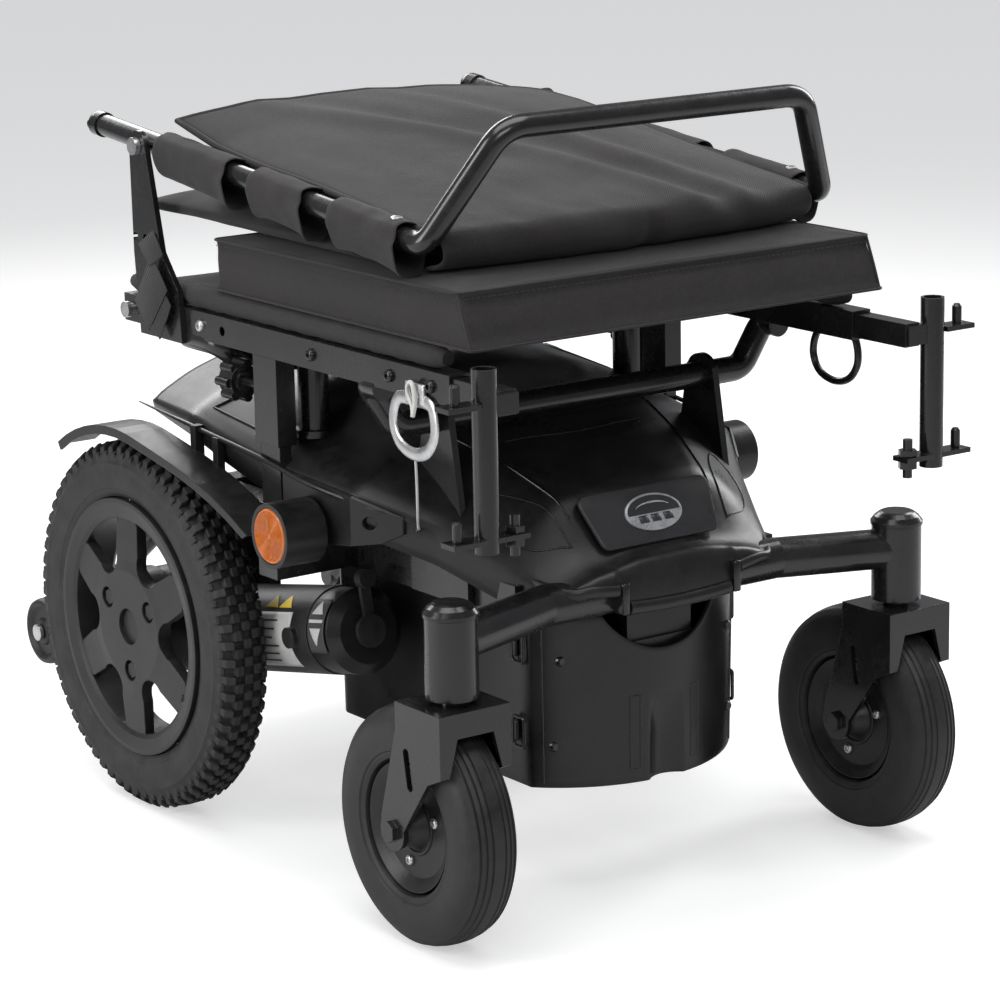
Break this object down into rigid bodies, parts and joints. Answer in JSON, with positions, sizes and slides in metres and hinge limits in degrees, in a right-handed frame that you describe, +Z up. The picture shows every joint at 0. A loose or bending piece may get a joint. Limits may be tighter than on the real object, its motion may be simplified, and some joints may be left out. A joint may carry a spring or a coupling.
{
  "type": "power wheelchair",
  "caption": "Rear-wheel-drive power wheelchair base with its backrest folded over the seat cushion, knobbly drive tyres, swivel casters, no footrests.",
  "frame": {"origin": "on the floor, on the centre line, half way between the front and rear extremes", "axes": "+Z up, -Y the way the chair drives, +X the occupant's left"},
  "size_m": [0.534, 0.8385, 0.6463],
  "materials": {
    "painted_tube": "gloss black powder coat, bare metal at worn edges",
    "casting": "satin black cast finish",
    "black_plastic": "fine grained black ABS, scuffed",
    "grey_plastic": "fine grained mid grey ABS",
    "gloss_plastic": "moulded end caps and knobs",
    "tyre": "dusty knobbly rubber",
    "rubber": "smooth black rubber",
    "wheel_rim": "satin black moulded wheel",
    "zinc": "bright zinc plate",
    "woven_black": "coarse black woven nylon",
    "webbing": "ribbed seat belt webbing",
    "amber_lens": "prismatic amber reflector",
    "badge_plate": "plain oval plate"
  },
  "bodies": {
    "base": {"chassis_frame": "painted_tube", "front_cross_tube": "painted_tube", "housing_caps": "gloss_plastic", "caster_bearings": "zinc", "batteries": "black_plastic", "battery_box": "black_plastic", "battery_box_handle": "black_plastic", "battery_box_clips": "gloss_plastic", "hood": "black_plastic", "hood_front_panel": "grey_plastic", "badge": "badge_plate", "hood_clips": "gloss_plastic", "side_covers": "black_plastic", "fenders": "black_plastic", "reflector_housings": "black_plastic", "reflector_lenses": "amber_lens", "motors": "casting", "gearboxes": "casting", "brake_covers": "black_plastic", "power_module": "casting", "rear_wire_loops": "painted_tube", "anti_tip_arms": "painted_tube", "seat_rails": "painted_tube", "seat_cross_tubes": "painted_tube", "seat_cross_bars": "painted_tube", "seat_front_brackets": "painted_tube", "seat_posts": "painted_tube", "seat_post_sleeves": "painted_tube", "seat_sling": "woven_black", "seat_cushion": "woven_black", "back_plates": "painted_tube", "back_pivot_bolts": "zinc", "tie_down_plates": "zinc", "hanger_posts": "painted_tube", "hanger_pins": "zinc", "belt_webbing": "webbing"},
    "drive_wheel_right": {"drive_rim_right": "wheel_rim", "drive_tyre_right": "tyre", "drive_hub_right": "zinc"},
    "caster_fork_right": {"caster_fork_right": "painted_tube"},
    "caster_wheel_right": {"caster_rim_right": "wheel_rim", "caster_tyre_right": "rubber"},
    "brake_lever_right": {"brake_lever_right": "rubber"},
    "clamp_knob_right": {"clamp_knob_right": "gloss_plastic"},
    "anti_tip_wheel_right": {"anti_tip_wheel_right": "rubber"},
    "drive_wheel_left": {"drive_rim_left": "wheel_rim", "drive_tyre_left": "tyre", "drive_hub_left": "zinc"},
    "caster_fork_left": {"caster_fork_left": "painted_tube"},
    "caster_wheel_left": {"caster_rim_left": "wheel_rim", "caster_tyre_left": "rubber"},
    "brake_lever_left": {"brake_lever_left": "rubber"},
    "clamp_knob_left": {"clamp_knob_left": "gloss_plastic"},
    "anti_tip_wheel_left": {"anti_tip_wheel_left": "rubber"},
    "backrest": {"back_canes": "painted_tube", "push_bar": "painted_tube", "cane_end_caps": "gloss_plastic", "back_panel": "woven_black", "back_upholstery": "woven_black", "cane_sleeves": "woven_black"}
  },
  "joints": [
    {"name": "drive_axle_right", "type": "hinge", "parent": "base", "child": "drive_wheel_right", "pos_m": [-0.216, 0.12025, 0.164], "axis": [1, 0, 0], "continuous": true},
    {"name": "caster_swivel_right", "type": "hinge", "parent": "base", "child": "caster_fork_right", "pos_m": [-0.2285, -0.35975, 0.2], "axis": [0, 0, 1], "continuous": true},
    {"name": "caster_axle_right", "type": "hinge", "parent": "caster_fork_right", "child": "caster_wheel_right", "pos_m": [-0.2285, -0.32175, 0.0975], "axis": [1, 0, 0], "continuous": true},
    {"name": "brake_release_right", "type": "hinge", "parent": "base", "child": "brake_lever_right", "pos_m": [-0.151, 0.05625, 0.162], "axis": [0, -0.9816, 0.1908], "range_deg": [0, 60]},
    {"name": "clamp_screw_right", "type": "hinge", "parent": "base", "child": "clamp_knob_right", "pos_m": [-0.203, -0.022, 0.402], "axis": [0, 1, 0], "range_deg": [0, 360]},
    {"name": "anti_tip_axle_right", "type": "hinge", "parent": "base", "child": "anti_tip_wheel_right", "pos_m": [-0.172, 0.38725, 0.092], "axis": [1, 0, 0], "continuous": true},
    {"name": "drive_axle_left", "type": "hinge", "parent": "base", "child": "drive_wheel_left", "pos_m": [0.216, 0.12025, 0.164], "axis": [1, 0, 0], "continuous": true},
    {"name": "caster_swivel_left", "type": "hinge", "parent": "base", "child": "caster_fork_left", "pos_m": [0.2285, -0.35975, 0.2], "axis": [0, 0, 1], "continuous": true},
    {"name": "caster_axle_left", "type": "hinge", "parent": "caster_fork_left", "child": "caster_wheel_left", "pos_m": [0.2285, -0.32175, 0.0975], "axis": [1, 0, 0], "continuous": true},
    {"name": "brake_release_left", "type": "hinge", "parent": "base", "child": "brake_lever_left", "pos_m": [0.151, 0.05625, 0.162], "axis": [0, 0.9816, -0.1908], "range_deg": [0, 60]},
    {"name": "clamp_screw_left", "type": "hinge", "parent": "base", "child": "clamp_knob_left", "pos_m": [0.203, -0.022, 0.402], "axis": [0, 1, 0], "range_deg": [0, 360]},
    {"name": "anti_tip_axle_left", "type": "hinge", "parent": "base", "child": "anti_tip_wheel_left", "pos_m": [0.172, 0.38725, 0.092], "axis": [1, 0, 0], "continuous": true},
    {"name": "backrest_fold", "type": "hinge", "parent": "base", "child": "backrest", "pos_m": [0, 0.10575, 0.587], "axis": [-1, 0, 0], "range_deg": [0, 108]}
  ]
}
